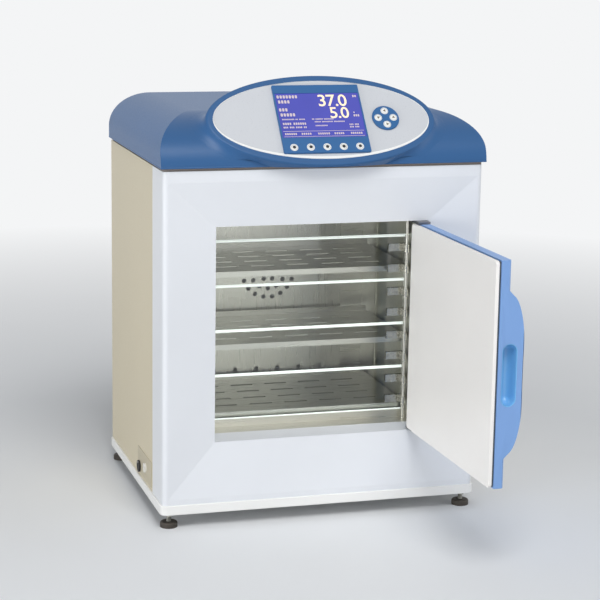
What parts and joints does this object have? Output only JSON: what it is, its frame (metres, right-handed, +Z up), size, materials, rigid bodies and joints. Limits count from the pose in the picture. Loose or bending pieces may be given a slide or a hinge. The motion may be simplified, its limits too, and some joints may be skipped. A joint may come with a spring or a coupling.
{
  "type": "carbon dioxide incubator",
  "caption": "Bench-top cell culture incubator: insulated cabinet with an oval control console, a hinged outer door, small inner glass doors and steel shelves.",
  "frame": {"origin": "on the bench, under the middle of the body's footprint, midway between the four feet side to side", "axes": "+X to the viewer's right when facing the door, +Y to the rear, +Z up"},
  "size_m": [0.589, 0.8421, 0.7845],
  "materials": {
    "white_painted_steel": "satin",
    "cream_painted_steel": "satin",
    "white_moulded_plastic": "satin",
    "blue_moulded_plastic": "satin",
    "light_blue_plastic": "satin",
    "grey_panel_plastic": "satin",
    "teal_plastic": "gloss",
    "display_glass": "gloss",
    "black_plastic": "matte",
    "stainless_steel": "satin",
    "bright_steel": "satin",
    "foot_rubber": "matte",
    "clear_glass": "gloss",
    "grey_zinc_plate": "satin",
    "dark_hinge_steel": "satin",
    "dark_seal_rubber": "matte",
    "mineral_wool": "matte",
    "brass_fitting": "satin",
    "fan_plastic": "matte",
    "board_laminate": "satin"
  },
  "bodies": {
    "cabinet": {"base_tray": "white_painted_steel", "cabinet_wrap": "cream_painted_steel", "rear_panel": "cream_painted_steel", "fascia": "white_moulded_plastic", "sample_port": "white_moulded_plastic", "hood": "blue_moulded_plastic", "console_housing": "blue_moulded_plastic", "console_panel": "grey_panel_plastic", "display_surround": "teal_plastic", "arrow_pad": "teal_plastic", "display_window": "display_glass", "power_inlet": "black_plastic", "chamber": "stainless_steel", "glass_frame": "stainless_steel", "rack_left": "stainless_steel", "rack_right": "stainless_steel", "shelf_low": "stainless_steel", "shelf_middle": "stainless_steel", "shelf_top": "stainless_steel", "humidity_pan": "stainless_steel", "air_duct": "stainless_steel", "climate_probes": "stainless_steel", "foot_nuts": "bright_steel", "heater": "bright_steel", "transom_glass": "clear_glass", "service_plate": "grey_zinc_plate", "hinge_plates": "dark_hinge_steel", "fan_motor": "dark_hinge_steel", "insulation": "mineral_wool", "gas_inlet": "brass_fitting", "circuit_board": "board_laminate"},
    "outer_door": {"door_shell": "light_blue_plastic", "door_core": "mineral_wool", "door_seal": "dark_seal_rubber", "door_liner": "white_moulded_plastic"},
    "fan_wheel": {"fan_wheel": "fan_plastic"},
    "thermostat_dial": {"thermostat_dial": "black_plastic"},
    "glass_door_1": {"pane_1": "clear_glass", "pane_fittings_1": "stainless_steel"},
    "glass_door_2": {"pane_2": "clear_glass", "pane_fittings_2": "stainless_steel"},
    "glass_door_3": {"pane_3": "clear_glass", "pane_fittings_3": "stainless_steel"},
    "glass_door_4": {"pane_4": "clear_glass", "pane_fittings_4": "stainless_steel"},
    "softkey_1": {"softkey_1": "black_plastic"},
    "softkey_2": {"softkey_2": "black_plastic"},
    "softkey_3": {"softkey_3": "black_plastic"},
    "softkey_4": {"softkey_4": "black_plastic"},
    "softkey_5": {"softkey_5": "black_plastic"},
    "arrow_up": {"arrow_up": "black_plastic"},
    "arrow_right": {"arrow_right": "black_plastic"},
    "arrow_down": {"arrow_down": "black_plastic"},
    "arrow_left": {"arrow_left": "black_plastic"},
    "foot_front_left": {"foot_front_left": "foot_rubber"},
    "foot_front_right": {"foot_front_right": "foot_rubber"},
    "foot_rear_left": {"foot_rear_left": "foot_rubber"},
    "foot_rear_right": {"foot_rear_right": "foot_rubber"}
  },
  "joints": [
    {"name": "outer_door_hinge", "type": "hinge", "parent": "cabinet", "child": "outer_door", "pos_m": [0.181, -0.2285, 0.342], "axis": [0, 0, 1], "range_deg": [-91, 25]},
    {"name": "glass_door_1_hinge", "type": "hinge", "parent": "cabinet", "child": "glass_door_1", "pos_m": [0.184, -0.1398, 0.204], "axis": [0, 0, 1], "range_deg": [0, 80]},
    {"name": "glass_door_2_hinge", "type": "hinge", "parent": "cabinet", "child": "glass_door_2", "pos_m": [0.184, -0.1398, 0.286], "axis": [0, 0, 1], "range_deg": [0, 80]},
    {"name": "glass_door_3_hinge", "type": "hinge", "parent": "cabinet", "child": "glass_door_3", "pos_m": [0.184, -0.1398, 0.368], "axis": [0, 0, 1], "range_deg": [0, 80]},
    {"name": "glass_door_4_hinge", "type": "hinge", "parent": "cabinet", "child": "glass_door_4", "pos_m": [0.184, -0.1398, 0.45], "axis": [0, 0, 1], "range_deg": [0, 80]},
    {"name": "softkey_1_press", "type": "slide", "parent": "cabinet", "child": "softkey_1", "axis": [0, 0.766, -0.6428], "range_m": [0, 0.001], "stiffness_N_per_m": 600},
    {"name": "softkey_2_press", "type": "slide", "parent": "cabinet", "child": "softkey_2", "axis": [0, 0.766, -0.6428], "range_m": [0, 0.001], "stiffness_N_per_m": 600},
    {"name": "softkey_3_press", "type": "slide", "parent": "cabinet", "child": "softkey_3", "axis": [0, 0.766, -0.6428], "range_m": [0, 0.001], "stiffness_N_per_m": 600},
    {"name": "softkey_4_press", "type": "slide", "parent": "cabinet", "child": "softkey_4", "axis": [0, 0.766, -0.6428], "range_m": [0, 0.001], "stiffness_N_per_m": 600},
    {"name": "softkey_5_press", "type": "slide", "parent": "cabinet", "child": "softkey_5", "axis": [0, 0.766, -0.6428], "range_m": [0, 0.001], "stiffness_N_per_m": 600},
    {"name": "arrow_up_press", "type": "slide", "parent": "cabinet", "child": "arrow_up", "axis": [0, 0.766, -0.6428], "range_m": [0, 0.001], "stiffness_N_per_m": 600},
    {"name": "arrow_right_press", "type": "slide", "parent": "cabinet", "child": "arrow_right", "axis": [0, 0.766, -0.6428], "range_m": [0, 0.001], "stiffness_N_per_m": 600},
    {"name": "arrow_down_press", "type": "slide", "parent": "cabinet", "child": "arrow_down", "axis": [0, 0.766, -0.6428], "range_m": [0, 0.001], "stiffness_N_per_m": 600},
    {"name": "arrow_left_press", "type": "slide", "parent": "cabinet", "child": "arrow_left", "axis": [0, 0.766, -0.6428], "range_m": [0, 0.001], "stiffness_N_per_m": 600},
    {"name": "thermostat_dial_turn", "type": "hinge", "parent": "cabinet", "child": "thermostat_dial", "pos_m": [-0.2914, -0.0383, 0.06075], "axis": [-1, 0, 0], "range_deg": [-135, 135]},
    {"name": "fan_spin", "type": "hinge", "parent": "cabinet", "child": "fan_wheel", "pos_m": [0, 0.1585, 0.382], "axis": [0, 1, 0], "continuous": true},
    {"name": "foot_front_left_screw", "type": "hinge", "parent": "cabinet", "child": "foot_front_left", "pos_m": [-0.275, -0.2135, 0.03], "axis": [0, 0, 1], "range_deg": [-180, 180]},
    {"name": "foot_front_right_screw", "type": "hinge", "parent": "cabinet", "child": "foot_front_right", "pos_m": [0.275, -0.2135, 0.03], "axis": [0, 0, 1], "range_deg": [-180, 180]},
    {"name": "foot_rear_left_screw", "type": "hinge", "parent": "cabinet", "child": "foot_rear_left", "pos_m": [-0.275, 0.2165, 0.03], "axis": [0, 0, 1], "range_deg": [-180, 180]},
    {"name": "foot_rear_right_screw", "type": "hinge", "parent": "cabinet", "child": "foot_rear_right", "pos_m": [0.275, 0.2165, 0.03], "axis": [0, 0, 1], "range_deg": [-180, 180]}
  ]
}
